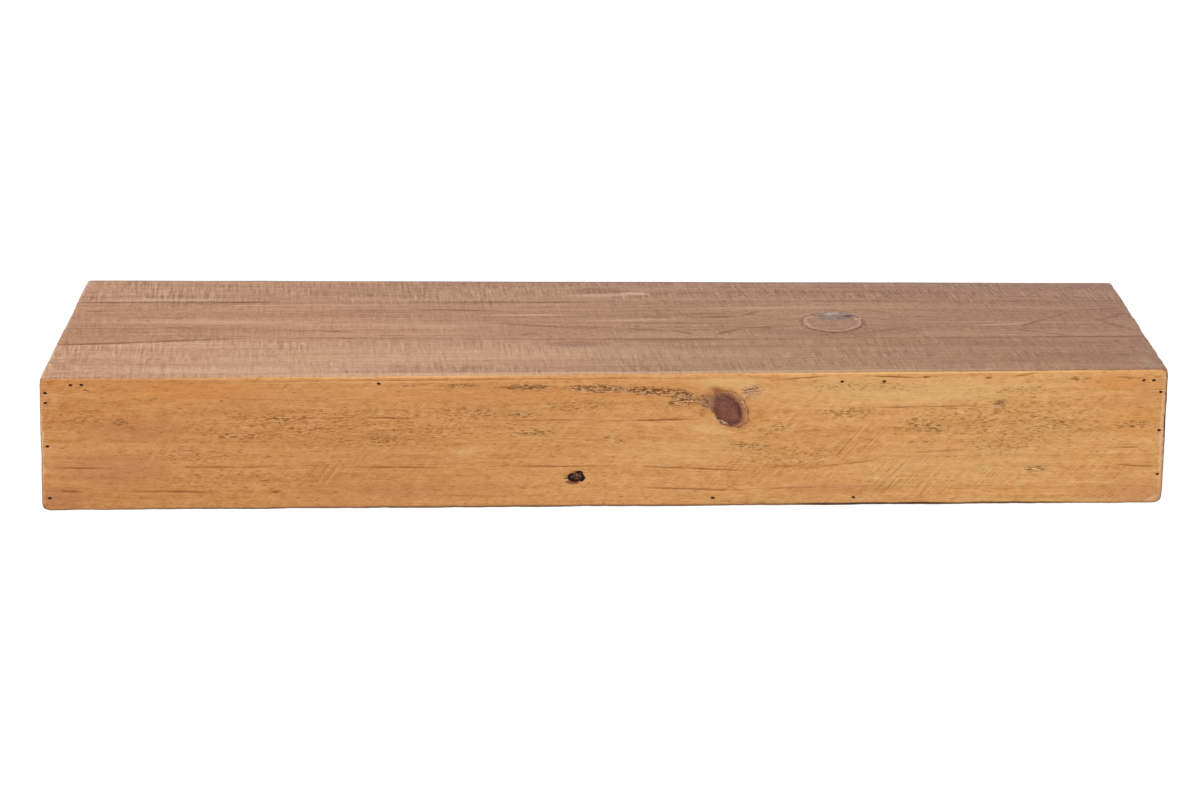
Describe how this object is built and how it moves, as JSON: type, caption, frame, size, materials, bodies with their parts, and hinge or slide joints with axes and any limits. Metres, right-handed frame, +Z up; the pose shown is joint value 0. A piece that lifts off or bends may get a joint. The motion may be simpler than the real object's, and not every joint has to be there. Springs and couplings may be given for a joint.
{
  "type": "floating shelf",
  "caption": "Hollow mitred floating shelf of rustic pine boards that slides over the rods of a hidden steel wall bracket.",
  "frame": {"origin": "middle of the back face of the bracket's wall plate, on the wall plane", "axes": "+Y into the wall, -Y out of the shelf's front, +X along the shelf to the right as seen from the front, +Z up"},
  "size_m": [0.914, 0.305, 0.114],
  "materials": {
    "golden_pine": "rough-sawn reclaimed pine, warm golden stain",
    "grey_pine": "rough-sawn reclaimed pine, grey-brown",
    "plain_pine": "planed pine, unfinished",
    "beech": "turned beech",
    "iron": "old dark iron",
    "brass": "satin",
    "zinc": "zinc plated",
    "powder_coat": "black powder coat, fine texture"
  },
  "bodies": {
    "wall_bracket": {"wall_plate": "powder_coat", "left_outer_rod": "powder_coat", "left_inner_rod": "powder_coat", "right_inner_rod": "powder_coat", "right_outer_rod": "powder_coat", "rod_welds": "powder_coat"},
    "shelf_box": {"front_board": "golden_pine", "top_front_plank": "grey_pine", "top_middle_plank": "grey_pine", "top_rear_plank": "grey_pine", "bottom_front_plank": "grey_pine", "bottom_middle_plank": "grey_pine", "bottom_rear_plank": "grey_pine", "left_end_board": "golden_pine", "right_end_board": "golden_pine", "rear_rail": "plain_pine", "middle_rail": "plain_pine", "front_top_block": "plain_pine", "front_bottom_block": "plain_pine", "left_top_block": "plain_pine", "left_bottom_block": "plain_pine", "right_top_block": "plain_pine", "right_bottom_block": "plain_pine", "top_front_dowels": "beech", "top_rear_dowels": "beech", "bottom_front_dowels": "beech", "bottom_rear_dowels": "beech", "rail_dowels": "beech", "front_nails": "iron", "left_lock_insert": "brass", "right_lock_insert": "brass", "left_lock_screw": "zinc", "right_lock_screw": "zinc"}
  },
  "joints": [
    {"name": "shelf_slide", "type": "slide", "parent": "wall_bracket", "child": "shelf_box", "axis": [0, -1, 0], "range_m": [0, 0.245]}
  ]
}
